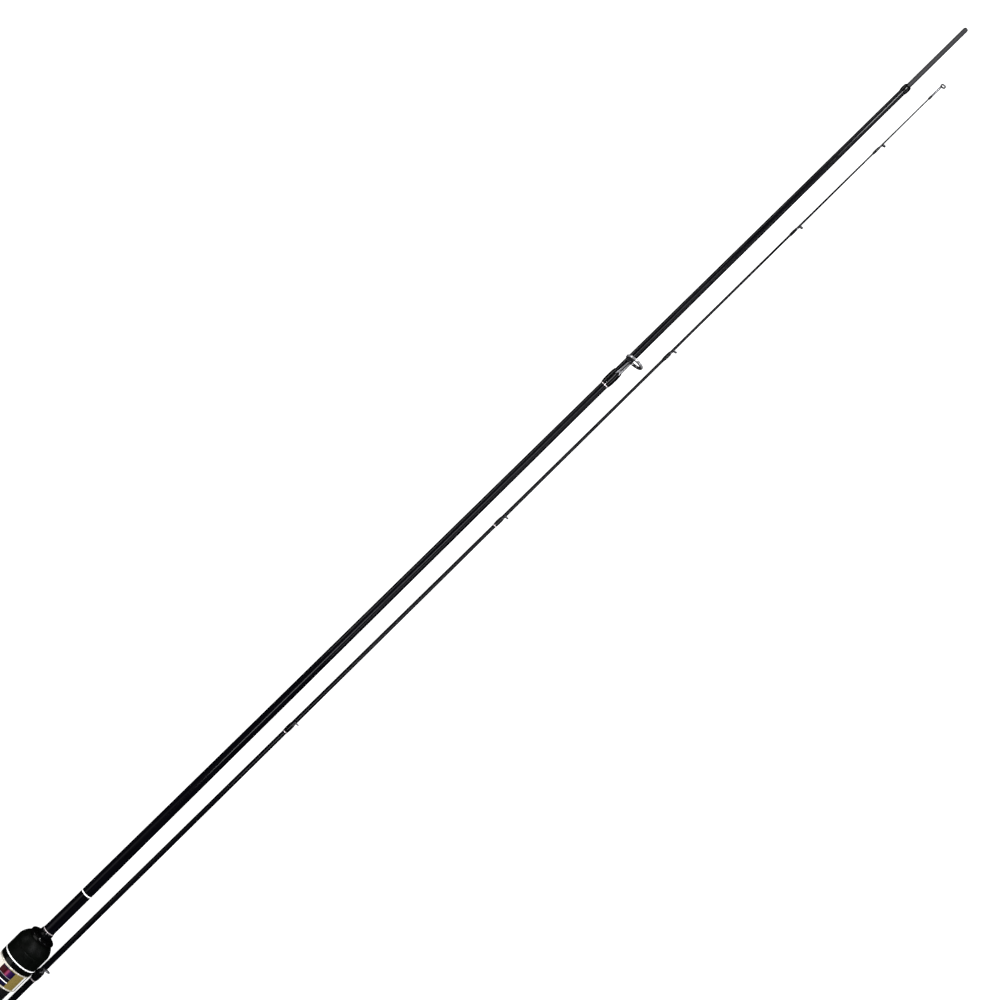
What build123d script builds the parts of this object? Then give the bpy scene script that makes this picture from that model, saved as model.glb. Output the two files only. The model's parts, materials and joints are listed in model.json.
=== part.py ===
from build123d import *
import os
from math import cos, radians, sin

os.makedirs("parts", exist_ok=True)

# A two-piece spinning rod, taken down. The butt section lies along +X with its handle at low X, and the tip
# section lies beside it on the -Y side. Millimetres, +Z up, with the surface that both lie on at z = 0.
# Stations are distances along a section from its rear end, and radii are from that section's axis.

# ---- Both sections ----
section_length = 1400.0  # butt cap to spigot tip, and socket end to the front of the tip ring
tip_set_back = 39.3  # the socket end lies this far behind the butt cap
axis_spacing = 18.65  # sideways, between the two axes
butt_guide_lean = 18.0  # degrees from straight up, towards the tip section's side
tip_guide_lean = 25.0

# ---- Blanks: hollow carbon tubes with a compound taper ----
butt_blank_start = 8.0
butt_blank_radii = [(0.295, 4.95), (0.54, 4.0), (0.778, 3.25)]  # share of the blank's length, outer radius
butt_blank_rear_radius = 5.8
butt_blank_front_radius = 2.7
tip_blank_radii = [(0.26, 2.58), (0.75, 1.25)]
tip_blank_front_radius = 0.55
blank_wall = 0.65
tip_bore_length = 850.0  # in front of this the tip blank is solid
socket_step = 0.1  # the bore narrows by this in front of the socket

# ---- Ferrule: the spigot of the butt section enters the socket of the tip section ----
spigot_length = 65.0
spigot_rooted = 60.0  # length glued inside the butt blank
spigot_clearance = 0.03
spigot_flat_radius = 0.45  # at the front of its rounded nose
socket_wall = 0.75
socket_length = 80.0
ferrule_wrap_build = 0.6
butt_ferrule_wrap_length = 6.5
tip_ferrule_wrap_length = 20.0

# ---- Handle, from the butt cap forward ----
butt_cap_length = 22.0
butt_cap_edge = 5.0
rear_grip_length = 183.0
rear_grip_step = 0.65  # the grip's rear end is this much lower than the butt cap
rear_grip_waist_radius = 11.9
rear_grip_front_radius = 12.8
rear_ring_length = 5.0
seat_length = 120.3
seat_radius = 11.0
seat_wall = 2.5
saddle_depth = 1.0
saddle_relief = 0.2  # the flat is this much lower under the nut and the hoods
arbor_length = 30.0
arbor_inset = 8.0
fixed_hood_length = 28.0
fixed_pocket_depth = 20.0
movable_hood_length = 24.0
movable_pocket_depth = 16.0
hood_wall = 2.2
hood_travel = 20.0
brow_rise = 5.0  # above the hood's ring
brow_width = 18.5
brow_flat = 9.0  # level stretch of the brow behind the mouth
brow_corner_share = 0.3  # corner radius over width, in the brow and in the pocket under it
brow_end_share = 0.62  # size of the brow's section at the closed end, over its size at the mouth
brow_wall = 1.8
brow_side_wall = 2.2
nut_wall = 3.2
nut_length = 13.0
nut_flutes = 24
nut_flute_radius = 0.75
nut_start_gap = 4.0  # from the rear end of the seat to the backed-off nut
nut_to_hood = 0.3
thread_pitch = 2.0
thread_depth = 0.7
thread_groove = 0.9  # the width of one square-sided groove
sliding_gap = 0.3  # between the seat barrel and what slides or turns on it
key_width = 3.0
key_height = 1.0
sleeve_length = 17.2
sleeve_wall = 1.7
rim_length = 1.4
rim_step = 0.2  # the sleeve's rims stand this much above it
rim_chamfer = 0.3
badge_half_angle = 25.0
badge_thickness = 0.25
handle_step = 0.15  # the black ring, the foregrip and the butt cap stand this much above the rims
black_ring_length = 4.8
white_ring_length = 1.0
foregrip_length = 20.9
foregrip_dome = 7.7
foregrip_front_radius = 11.0
foregrip_groove = 0.35
foregrip_groove_set_back = 3.0
check_length = 3.1
check_radius = 10.9
check_neck = 0.4
check_neck_radius = 10.3
check_lip_radius = 7.1
check_dish = 1.4
check_edge = 0.4
foregrip_wrap_length = 5.8
foregrip_wrap_build = 0.75
trim_length = 0.8
trim_build = 0.22
white_band_station = 425.0
white_band_length = 1.0
white_band_build = 0.08

# ---- Guides: a ceramic ring pressed in a stamped hoop, on a single foot under a thread wrap ----
ring_tilt = 12.0  # degrees that a guide ring's top leans forward
tip_top_tilt = 23.0
stripper_share = 0.7333  # share of the section from its rear end to the ring
stripper_ring_radius = 8.2
stripper_wrap_build = 1.0
tip_guides = [  # share of the section back from its front end, ring radius, wrap build-up
    (0.0499, 1.75, 0.45),
    (0.1159, 1.85, 0.40),
    (0.2165, 2.0, 0.45),
    (0.3506, 2.0, 0.42),
    (0.5175, 2.1, 0.42),
    (0.7164, 3.2, 0.85),
    (0.95, 4.2, 0.90),
]
first_trimmed_guide = 4  # from this one rearwards a bright trim ring ends the wrap
tip_ring_radius = 2.3
tip_ring_height = 2.1
tip_tube_length = 10.0
tip_tube_wall = 0.3
tip_blank_inset = 1.0  # from the front of the tip top's tube back to the end of the blank
tip_wrap_length = 4.0
tip_wrap_build = 0.45


def line_up(start, lengths):
    """Stations of the joints between pieces laid end to end"""
    stations = [start]
    for length in lengths:
        stations.append(stations[-1] + length)
    return stations


def radius_at(taper, station):
    """Outer radius of a blank whose taper is a list of (station, radius)"""
    for (rear, rear_radius), (front, front_radius) in zip(taper, taper[1:]):
        if station <= front:
            return rear_radius + (front_radius - rear_radius) * (station - rear) / (front - rear)
    return taper[-1][1]


def leg_run(ring_radius):
    """From the front of a guide's wrap to its ring's centre"""
    return 1.62 * ring_radius - 0.7


def wrap_length(ring_radius):
    return 6.0 + 1.1 * ring_radius


def hoop_wall(ring_radius):
    return 0.27 + 0.065 * ring_radius


def hoop_width(ring_radius):
    return 0.7 + 0.13 * ring_radius


def insert_wall(ring_radius):
    return 0.24 + 0.13 * ring_radius


def ring_clearance(ring_radius):
    """Between the lowest point of a hoop and the blank"""
    return 0.7 + 0.1 * ring_radius


def ring_height(taper, station, ring_radius):
    """From a rod's axis to a guide ring's centre"""
    rise = ring_radius * cos(radians(ring_tilt))
    return radius_at(taper, station) + ring_clearance(ring_radius) + rise


# ---- Radii of the handle, from the seat barrel outwards ----
seat_bore_radius = seat_radius - seat_wall
saddle_height = seat_radius - saddle_depth
hood_radius = seat_radius + hood_wall
brow_height = hood_radius + brow_rise
nut_radius = seat_radius + nut_wall
nose_radius = hood_radius  # of the seat's front end, which runs under the sleeve
sleeve_radius = nose_radius + sleeve_wall
rim_radius = sleeve_radius + rim_step
handle_radius = rim_radius + handle_step  # butt cap and foregrip, which carry the butt section level
rear_grip_rear_radius = handle_radius - rear_grip_step

# ---- Stations ----
(
    rear_grip_start,
    rear_ring_start,
    seat_start,
    sleeve_start,
    black_ring_start,
    white_ring_start,
    foregrip_start,
    check_start,
    foregrip_wrap_start,
    foregrip_trim_start,
) = line_up(
    butt_cap_length,
    [
        rear_grip_length,
        rear_ring_length,
        seat_length,
        sleeve_length,
        black_ring_length,
        white_ring_length,
        foregrip_length,
        check_length,
        foregrip_wrap_length,
    ],
)
seat_end = sleeve_start
shoulder = section_length - spigot_length
nut_start = seat_start + nut_start_gap
hood_start = nut_start + nut_length + nut_to_hood
hood_mouth = hood_start + movable_hood_length
thread_end = hood_start + hood_travel + thread_pitch
fixed_mouth = seat_end - fixed_hood_length
stripper_station = stripper_share * section_length

butt_blank_length = shoulder - butt_blank_start
butt_taper = [(butt_blank_start, butt_blank_rear_radius)]
butt_taper += [(butt_blank_start + share * butt_blank_length, radius) for share, radius in butt_blank_radii]
butt_taper += [(shoulder, butt_blank_front_radius)]
spigot_radius = butt_blank_front_radius - blank_wall
spigot_nose = spigot_radius - spigot_flat_radius
socket_radius = spigot_radius + spigot_clearance

tip_ring_station = section_length - tip_ring_radius - hoop_width(tip_ring_radius) / 2
tip_tube_end = tip_ring_station - tip_ring_radius * sin(radians(tip_top_tilt))
tip_tube_start = tip_tube_end - tip_tube_length
tip_blank_length = tip_tube_end - tip_blank_inset
tip_taper = [(0.0, socket_radius + socket_wall)]
tip_taper += [(share * tip_blank_length, radius) for share, radius in tip_blank_radii]
tip_taper += [(tip_blank_length, tip_blank_front_radius)]
guide_stations = [(1 - share) * section_length for share, _, _ in tip_guides]

# ---- Where the two axes lie ----
wrap_radii = [
    radius_at(tip_taper, station - leg_run(radius) - wrap_length(radius)) + build
    for station, (_, radius, build) in zip(guide_stations, tip_guides)
]
tip_axis_height = max(wrap_radii + [socket_radius + socket_wall + ferrule_wrap_build])
widest_station, widest_ring = max(
    zip(guide_stations, [radius for _, radius, _ in tip_guides]), key=lambda guide: guide[1]
)
ring_lean = radians(tip_guide_lean)
tip_side_reach = ring_height(tip_taper, widest_station, widest_ring) * sin(ring_lean) + widest_ring
butt_axis_y = (axis_spacing + tip_side_reach - handle_radius) / 2
butt_rear_x = (tip_set_back - section_length) / 2


def section_plane(rear_x, axis_y, axis_z, lean):
    """A section's own plane: x along its axis from the rear end, y towards its guides"""
    angle = radians(lean)
    return Plane(origin=(rear_x, axis_y, axis_z), x_dir=(1, 0, 0), z_dir=(0, -cos(angle), -sin(angle)))


def across(rod, station, direction=1):
    """Plane square to a rod's axis: y towards the guides, normal forward (1) or rearward (-1)"""
    origin = rod.from_local_coords((station, 0, 0))
    return Plane(origin=origin, x_dir=rod.z_dir * -direction, z_dir=rod.x_dir * direction)


def write(piece, name):
    piece.part.label = name
    export_step(piece.part, f"parts/{name}.step")


butt = section_plane(butt_rear_x, butt_axis_y, handle_radius, butt_guide_lean)
tip = section_plane(
    butt_rear_x - tip_set_back, butt_axis_y - axis_spacing, tip_axis_height, tip_guide_lean
)
butt_axis = Axis(butt.origin, butt.x_dir)
tip_axis = Axis(tip.origin, tip.x_dir)


def turned(rod, outline):
    """A piece turned about a rod's axis from a closed outline of (station, radius) corners"""
    with BuildPart() as piece:
        with BuildSketch(rod):
            with BuildLine():
                Polyline(*outline, close=True)
            make_face()
        revolve(axis=Axis(rod.origin, rod.x_dir))
    return piece


def blank_core(rod, taper):
    """Everything inside a blank's outer surface, to cut what is threaded onto it"""
    return turned(rod, [*taper, (taper[-1][0], 0), (taper[0][0], 0)]).part


def sleeved(rod, core, outline):
    """A turned piece bored to the blank that it sits on"""
    with BuildPart() as piece:
        add(turned(rod, outline).part)
        add(core, mode=Mode.SUBTRACT)
    return piece


def collar(rod, core, start, end, radius):
    return sleeved(rod, core, [(start, 0), (start, radius), (end, radius), (end, 0)])


def wrap(rod, core, taper, start, end, build, foot=None):
    """A thread wrap under epoxy, full in the middle and thin at both ends, over a guide's foot if any"""
    edge = 0.3 * build
    run_out = 0.3 * (end - start)
    start_radius = radius_at(taper, start)
    end_radius = radius_at(taper, end)
    with BuildPart() as piece:
        with BuildSketch(rod):
            with BuildLine():
                rear_edge = (start, start_radius + edge)
                rear_top = (start + run_out, start_radius + build)
                front_top = (end - run_out, end_radius + build)
                front_edge = (end, end_radius + edge)
                Polyline(rear_edge, (start, 0), (end, 0), front_edge)
                EllipticalCenterArc((rear_top[0], rear_edge[1]), run_out, build - edge, start_angle=90)
                Line(rear_top, front_top)
                EllipticalCenterArc((front_top[0], front_edge[1]), run_out, build - edge)
            make_face()
        revolve(axis=Axis(rod.origin, rod.x_dir))
        add(core, mode=Mode.SUBTRACT)
        if foot:
            add(foot.part, mode=Mode.SUBTRACT)
    return piece


def ring_plane(rod, station, height, tilt):
    """A leaning ring's section plane: x out along the ring's leaning radius, y along the ring's axis"""
    centre = rod.from_local_coords((station, height, 0))
    out = rod.x_dir * sin(radians(tilt)) + rod.y_dir * cos(radians(tilt))
    return Plane(origin=centre, x_dir=out, z_dir=rod.z_dir)


def hoop(ring, ring_radius):
    """The stamped hoop round a ceramic ring"""
    wall = hoop_wall(ring_radius)
    with BuildPart() as piece:
        with BuildSketch(ring):
            with Locations((ring_radius - wall / 2, 0)):
                RectangleRounded(wall, hoop_width(ring_radius), 0.3 * wall)
        revolve(axis=Axis(ring.origin, ring.y_dir))
    return piece


def ceramic_ring(ring, ring_radius):
    """The polished ring pressed in a hoop"""
    wall = insert_wall(ring_radius)
    outer = ring_radius - hoop_wall(ring_radius)
    with BuildPart() as piece:
        with BuildSketch(ring):
            with Locations((outer - wall / 2, 0)):
                RectangleRounded(wall, hoop_width(ring_radius) + 0.6 * wall, 0.42 * wall)
        revolve(axis=Axis(ring.origin, ring.y_dir))
    return piece


def guide_frame(rod, core, taper, station, ring, ring_radius, build):
    """Hoop, slotted leg and foot in one stamping"""
    wall = hoop_wall(ring_radius)
    plate = 0.55 * build
    leg_width = 0.6 + 0.3 * ring_radius
    wrap_front = station - leg_run(ring_radius)
    foot_rear = wrap_front - wrap_length(ring_radius) + 1.0
    surface = radius_at(taper, wrap_front)
    hoop_foot = rod.to_local_coords(ring.from_local_coords((-ring_radius + wall / 2, 0, 0)))
    with BuildPart() as piece:
        with BuildSketch(rod):
            Polygon(
                (foot_rear, surface - plate),
                (foot_rear, surface + 0.2 * plate),
                (foot_rear + 2 * plate, surface + plate),
                (wrap_front, surface + plate),
                (hoop_foot.X, hoop_foot.Y + plate / 2),
                (hoop_foot.X, hoop_foot.Y - plate / 2),
                (wrap_front, surface + 0.15 * plate),
                (wrap_front - plate, surface - plate),
                align=None,
            )
        extrude(amount=leg_width / 2, both=True)
        with BuildSketch(rod):
            slot_rear = wrap_front + 1.2 * plate
            slot_front = hoop_foot.X - wall
            with Locations(((slot_rear + slot_front) / 2, surface + plate)):
                Rectangle(slot_front - slot_rear, 6 * plate)
        extrude(amount=0.15 * leg_width, both=True, mode=Mode.SUBTRACT)
        add(hoop(ring, ring_radius).part)
        add(core, mode=Mode.SUBTRACT)
    return piece


# ---- Butt section: blank and ferrule ----
butt_core = blank_core(butt, butt_taper)
butt_bore = [(station, radius - blank_wall) for station, radius in butt_taper]
butt_blank = turned(butt, [*butt_taper, *reversed(butt_bore)])
write(butt_blank, "butt_blank")

spigot_root = shoulder - spigot_rooted
with BuildPart() as spigot:
    with BuildSketch(butt):
        with BuildLine():
            nose_start = (section_length - spigot_nose, spigot_radius)
            nose_end = (section_length, spigot_radius - spigot_nose)
            root_radius = radius_at(butt_taper, spigot_root) - blank_wall
            Polyline(
                nose_end,
                (section_length, 0),
                (spigot_root, 0),
                (spigot_root, root_radius),
                (shoulder, spigot_radius),
                nose_start,
            )
            RadiusArc(nose_start, nose_end, spigot_nose)
        make_face()
    revolve(axis=butt_axis)
write(spigot, "spigot")

butt_ferrule_wrap = wrap(
    butt, butt_core, butt_taper, shoulder - butt_ferrule_wrap_length, shoulder, ferrule_wrap_build
)
write(butt_ferrule_wrap, "butt_ferrule_wrap")

# ---- Butt section: rear handle ----
with BuildPart() as butt_cap:
    with BuildSketch(butt):
        Polygon(
            (0, 0),
            (0, handle_radius),
            (butt_cap_length, handle_radius),
            (butt_cap_length, 0),
            align=None,
        )
    revolve(axis=butt_axis)
    fillet(butt_cap.edges().group_by(Axis.X)[0], butt_cap_edge)
    add(butt_core, mode=Mode.SUBTRACT)
write(butt_cap, "butt_cap")

with BuildPart() as rear_grip:
    with BuildSketch(butt):
        with BuildLine():
            grip_rear = (rear_grip_start, rear_grip_rear_radius)
            grip_front = (rear_ring_start, rear_grip_front_radius)
            waist = (rear_grip_start + 0.62 * rear_grip_length, rear_grip_waist_radius)
            ThreePointArc(grip_rear, waist, grip_front)
            Polyline(grip_front, (rear_ring_start, 0), (rear_grip_start, 0), grip_rear)
        make_face()
    revolve(axis=butt_axis)
    add(butt_core, mode=Mode.SUBTRACT)
write(rear_grip, "rear_grip")

rear_ring = collar(butt, butt_core, rear_ring_start, seat_start, hood_radius)
write(rear_ring, "rear_ring")

# ---- Butt section: reel seat ----
keyway_depth = key_height + sliding_gap
with BuildPart() as reel_seat_body:
    with BuildSketch(butt):
        Polygon(
            (seat_start, seat_bore_radius),
            (seat_start, seat_radius),
            (seat_end, seat_radius),
            (seat_end, nose_radius),
            (black_ring_start, nose_radius),
            (black_ring_start, seat_bore_radius),
            align=None,
        )
    revolve(axis=butt_axis)
    with BuildSketch(butt):
        thread_count = int((thread_end - seat_start) / thread_pitch) - 1
        first_groove = seat_start + thread_pitch
        with Locations(*[(first_groove + turn * thread_pitch, seat_radius) for turn in range(thread_count)]):
            Rectangle(thread_groove, 2 * thread_depth)
    revolve(axis=butt_axis, mode=Mode.SUBTRACT)
    with BuildSketch(butt):
        saddle_front = fixed_mouth + fixed_pocket_depth
        relief_height = saddle_height - saddle_relief
        Polygon(
            (seat_start, relief_height),
            (hood_mouth + sliding_gap, relief_height),
            (hood_mouth + sliding_gap, saddle_height),
            (fixed_mouth - sliding_gap, saddle_height),
            (fixed_mouth - sliding_gap, relief_height),
            (saddle_front, relief_height),
            (saddle_front, hood_radius),
            (seat_start, hood_radius),
            align=None,
        )
    extrude(amount=seat_radius, both=True, mode=Mode.SUBTRACT)
    with BuildSketch(butt):
        keyway_front = hood_mouth + hood_travel + sliding_gap
        with Locations(((seat_start + keyway_front) / 2, -seat_radius)):
            Rectangle(keyway_front - seat_start, 2 * keyway_depth)
    extrude(amount=key_width / 2 + sliding_gap, both=True, mode=Mode.SUBTRACT)
write(reel_seat_body, "reel_seat_body")

rear_arbor_start = seat_start + arbor_inset
front_arbor_end = seat_end - arbor_inset
rear_arbor = collar(butt, butt_core, rear_arbor_start, rear_arbor_start + arbor_length, seat_bore_radius)
write(rear_arbor, "rear_arbor")
front_arbor = collar(butt, butt_core, front_arbor_end - arbor_length, front_arbor_end, seat_bore_radius)
write(front_arbor, "front_arbor")


def tapered_block(mouth, inward, depth, width, height, end_share):
    """A rounded block on the seat's axis, level behind the mouth and then tapering to its closed end"""
    with BuildPart() as piece:
        for station, share in [(0, 1), (brow_flat, 1), (depth, end_share)]:
            with BuildSketch(across(butt, mouth + inward * station, inward)):
                with Locations((0, share * height / 2)):
                    RectangleRounded(share * width, share * height, brow_corner_share * share * width)
            if station == 0:
                extrude(amount=brow_flat)
        loft()
    return piece


def hood(mouth, inward, length, pocket_depth, bore_radius):
    """A hood ring with a raised brow over a pocket for one end of the reel's foot"""
    face = across(butt, mouth, inward)
    pocket_share = 1 - (1 - brow_end_share) * (pocket_depth - brow_flat) / (length - brow_flat)
    pocket_width = brow_width - 2 * brow_side_wall
    pocket_height = brow_height - brow_wall
    with BuildPart() as piece:
        with BuildSketch(face):
            Circle(hood_radius)
        extrude(amount=length)
        add(tapered_block(mouth, inward, length, brow_width, brow_height, brow_end_share).part)
        pocket = tapered_block(mouth, inward, pocket_depth, pocket_width, pocket_height, pocket_share)
        add(pocket.part, mode=Mode.SUBTRACT)
        with BuildSketch(face):
            Circle(bore_radius)
        extrude(amount=length, mode=Mode.SUBTRACT)
    return piece


fixed_hood = hood(fixed_mouth, 1, fixed_hood_length, fixed_pocket_depth, seat_radius)
write(fixed_hood, "fixed_hood")

sliding_bore_radius = seat_radius + sliding_gap
with BuildPart() as movable_hood:
    add(hood(hood_mouth, -1, movable_hood_length, movable_pocket_depth, sliding_bore_radius).part)
    with BuildSketch(across(butt, hood_start)):
        with Locations((0, sliding_gap - seat_radius)):
            Rectangle(key_width, 2 * key_height)
    extrude(amount=movable_hood_length)
write(movable_hood, "movable_hood")

with BuildPart() as lock_nut:
    with BuildSketch(across(butt, nut_start)):
        Circle(nut_radius)
        with PolarLocations(nut_radius, nut_flutes):
            Circle(nut_flute_radius, mode=Mode.SUBTRACT)
        Circle(sliding_bore_radius, mode=Mode.SUBTRACT)
    extrude(amount=nut_length)
write(lock_nut, "lock_nut")

# ---- Butt section: metal sleeve between the seat and the foregrip ----
rear_rim_end = sleeve_start + rim_length
front_rim_start = black_ring_start - rim_length
for name, rim_start in [("sleeve_rear_rim", sleeve_start), ("sleeve_front_rim", front_rim_start)]:
    rim_end = rim_start + rim_length
    rim = turned(
        butt,
        [
            (rim_start, nose_radius),
            (rim_start, rim_radius - rim_chamfer),
            (rim_start + rim_chamfer, rim_radius),
            (rim_end - rim_chamfer, rim_radius),
            (rim_end, rim_radius - rim_chamfer),
            (rim_end, nose_radius),
        ],
    )
    write(rim, name)

metal_sleeve = turned(
    butt,
    [
        (rear_rim_end, nose_radius),
        (rear_rim_end, sleeve_radius),
        (front_rim_start, sleeve_radius),
        (front_rim_start, nose_radius),
    ],
)
write(metal_sleeve, "metal_sleeve")

# The badge faces straight up, whatever the guides' lean
badge_inset = 0.4
with BuildPart() as sleeve_badge:
    with BuildSketch(section_plane(butt_rear_x, butt_axis_y, handle_radius, -badge_half_angle)):
        Polygon(
            (rear_rim_end + badge_inset, sleeve_radius),
            (rear_rim_end + badge_inset, sleeve_radius + badge_thickness),
            (front_rim_start - badge_inset, sleeve_radius + badge_thickness),
            (front_rim_start - badge_inset, sleeve_radius),
            align=None,
        )
    revolve(axis=butt_axis, revolution_arc=2 * badge_half_angle)
write(sleeve_badge, "sleeve_badge")

# ---- Butt section: foregrip and winding check ----
black_ring = collar(butt, butt_core, black_ring_start, white_ring_start, handle_radius)
write(black_ring, "black_ring")
white_ring = collar(butt, butt_core, white_ring_start, foregrip_start, handle_radius)
write(white_ring, "white_ring")

with BuildPart() as foregrip:
    with BuildSketch(butt):
        with BuildLine():
            dome_start = (check_start - foregrip_dome, handle_radius)
            dome_end = (check_start, foregrip_front_radius)
            dome_drop = handle_radius - foregrip_front_radius
            dome_middle = (check_start - 0.42 * foregrip_dome, handle_radius - 0.36 * dome_drop)
            groove = check_start - foregrip_dome - foregrip_groove_set_back
            ThreePointArc(dome_start, dome_middle, dome_end)
            Polyline(
                dome_end,
                (check_start, 0),
                (foregrip_start, 0),
                (foregrip_start, handle_radius),
                (groove - foregrip_groove, handle_radius),
                (groove, handle_radius - foregrip_groove),
                (groove + foregrip_groove, handle_radius),
                dome_start,
            )
        make_face()
    revolve(axis=butt_axis)
    add(butt_core, mode=Mode.SUBTRACT)
write(foregrip, "foregrip")

check_front = foregrip_wrap_start
winding_check = sleeved(
    butt,
    butt_core,
    [
        (check_start, 0),
        (check_start, check_neck_radius),
        (check_start + check_neck, check_neck_radius),
        (check_start + check_neck, check_radius),
        (check_front - check_edge, check_radius),
        (check_front, check_radius - check_edge),
        (check_front, check_radius - 2 * check_edge),
        (check_front - check_dish, check_lip_radius + 2 * check_edge),
        (check_front - check_edge, check_lip_radius),
        (check_front, check_lip_radius - check_edge),
        (check_front, 0),
    ],
)
write(winding_check, "winding_check")

foregrip_wrap = wrap(
    butt, butt_core, butt_taper, foregrip_wrap_start, foregrip_trim_start, foregrip_wrap_build
)
write(foregrip_wrap, "foregrip_wrap")


def trim_ring(rod, core, taper, start, length, build):
    """A narrow bright ring that ends a wrap"""
    return collar(rod, core, start, start + length, radius_at(taper, start) + build)


foregrip_trim = trim_ring(butt, butt_core, butt_taper, foregrip_trim_start, trim_length, trim_build)
write(foregrip_trim, "foregrip_trim_ring")
white_band = trim_ring(
    butt, butt_core, butt_taper, white_band_station, white_band_length, white_band_build
)
write(white_band, "white_band")


def write_guide(rod, core, taper, station, ring_radius, build, name, trimmed):
    """One guide's frame, ceramic ring and wrap, with a trim ring behind the wrap if it is trimmed"""
    ring = ring_plane(rod, station, ring_height(taper, station, ring_radius), ring_tilt)
    frame = guide_frame(rod, core, taper, station, ring, ring_radius, build)
    write(frame, f"{name}_frame")
    write(ceramic_ring(ring, ring_radius), f"{name}_ring")
    wrap_front = station - leg_run(ring_radius)
    wrap_rear = wrap_front - wrap_length(ring_radius)
    write(wrap(rod, core, taper, wrap_rear, wrap_front, build, foot=frame), f"{name}_wrap")
    if trimmed:
        trim = trim_ring(rod, core, taper, wrap_rear - trim_length, trim_length, trim_build)
        write(trim, f"{name}_trim_ring")


write_guide(
    butt,
    butt_core,
    butt_taper,
    stripper_station,
    stripper_ring_radius,
    stripper_wrap_build,
    "stripper",
    trimmed=True,
)

# ---- Tip section: blank and socket ----
tip_core = blank_core(tip, tip_taper)
bore_taper = [(socket_length, socket_radius - socket_step)]
bore_taper += [
    (station, radius - blank_wall)
    for station, radius in tip_taper
    if socket_length < station < tip_bore_length
]
bore_taper += [(tip_bore_length, radius_at(tip_taper, tip_bore_length) - blank_wall)]
tip_blank = turned(
    tip,
    [
        *tip_taper,
        (tip_blank_length, 0),
        (tip_bore_length, 0),
        *reversed(bore_taper),
        (socket_length, socket_radius),
        (0, socket_radius),
    ],
)
write(tip_blank, "tip_blank")

tip_ferrule_wrap = wrap(tip, tip_core, tip_taper, 0, tip_ferrule_wrap_length, ferrule_wrap_build)
write(tip_ferrule_wrap, "tip_ferrule_wrap")

# ---- Tip section: guides, numbered from the tip ----
for number, (station, (_, ring_radius, build)) in enumerate(zip(guide_stations, tip_guides), start=1):
    write_guide(
        tip,
        tip_core,
        tip_taper,
        station,
        ring_radius,
        build,
        f"guide_{number}",
        trimmed=number >= first_trimmed_guide,
    )

# ---- Tip section: tip top ----
tube_radius = radius_at(tip_taper, tip_tube_start) + tip_tube_wall
tip_ring_plane = ring_plane(tip, tip_ring_station, tip_ring_height, tip_top_tilt)
with BuildPart() as tip_top_frame:
    with BuildSketch(tip):
        Polygon(
            (tip_tube_start, 0),
            (tip_tube_start, tube_radius),
            (tip_tube_end, tube_radius),
            (tip_tube_end, 0),
            align=None,
        )
    revolve(axis=tip_axis)
    with BuildSketch(Plane(origin=tip_ring_plane.origin, z_dir=tip_ring_plane.y_dir)):
        Circle(tip_ring_radius - hoop_wall(tip_ring_radius))
    extrude(amount=hoop_width(tip_ring_radius), both=True, mode=Mode.SUBTRACT)
    add(hoop(tip_ring_plane, tip_ring_radius).part)
    add(tip_core, mode=Mode.SUBTRACT)
write(tip_top_frame, "tip_top_frame")

write(ceramic_ring(tip_ring_plane, tip_ring_radius), "tip_top_ring")

tip_top_wrap = wrap(
    tip, tip_core, tip_taper, tip_tube_start - tip_wrap_length, tip_tube_start, tip_wrap_build
)
write(tip_top_wrap, "tip_top_wrap")
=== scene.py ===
import json
from math import acos, asin, cos, pi, radians, sin

import bmesh
import bpy
import numpy as np
from mathutils import Euler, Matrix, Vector


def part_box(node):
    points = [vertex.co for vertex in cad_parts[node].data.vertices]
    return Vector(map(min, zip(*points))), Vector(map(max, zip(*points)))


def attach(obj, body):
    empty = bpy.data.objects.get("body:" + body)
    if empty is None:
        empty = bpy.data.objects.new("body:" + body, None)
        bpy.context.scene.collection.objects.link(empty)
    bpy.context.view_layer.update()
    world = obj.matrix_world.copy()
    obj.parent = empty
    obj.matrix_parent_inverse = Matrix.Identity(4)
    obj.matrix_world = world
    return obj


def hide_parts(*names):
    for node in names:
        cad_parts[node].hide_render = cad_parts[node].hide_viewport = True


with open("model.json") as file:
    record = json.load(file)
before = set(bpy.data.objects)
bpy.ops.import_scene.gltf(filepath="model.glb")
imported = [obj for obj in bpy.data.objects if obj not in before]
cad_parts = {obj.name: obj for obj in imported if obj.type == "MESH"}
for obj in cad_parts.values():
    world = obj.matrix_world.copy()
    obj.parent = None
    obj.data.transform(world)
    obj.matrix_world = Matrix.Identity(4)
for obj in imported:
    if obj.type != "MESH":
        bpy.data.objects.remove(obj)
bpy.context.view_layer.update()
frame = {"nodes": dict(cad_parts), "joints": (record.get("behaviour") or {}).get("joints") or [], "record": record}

# A two-piece spinning rod, taken down and laid on a pale floor. Metres throughout, in the frame's own axes:
# +X forward along both sections, +Y from the tip section towards the butt section, +Z up.

record = frame["record"]
mounts = {mount["name"]: mount for mount in record["mounts"]}
slot_of = {subpart["node"]: subpart["material_slot"] for subpart in record["subparts"]}
body_of = {node: body for body, nodes in record["behaviour"]["bodies"].items() for node in nodes}
travel = {joint["name"]: joint["range_m"][1] for joint in frame["joints"] if "range_m" in joint}

butt_axis = Vector(mounts["spigot"]["pos_m"])
tip_axis = Vector(mounts["socket"]["pos_m"])
butt_up = Vector(mounts["reel_saddle"]["axis"])  # from the butt section's axis towards its guides


def axis_of(node):
    return tip_axis if body_of[node] == "tip_section" else butt_axis


# ---- Reading shapes from the frame ----


def corners(node):
    """A CAD node's vertices at rest"""
    mesh = frame["nodes"][node].data
    flat = np.empty(len(mesh.vertices) * 3)
    mesh.vertices.foreach_get("co", flat)
    return flat.reshape(-1, 3)


def stations_and_radii(node):
    points = corners(node)
    axis = axis_of(node)
    return points[:, 0], np.hypot(points[:, 1] - axis.y, points[:, 2] - axis.z)


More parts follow.
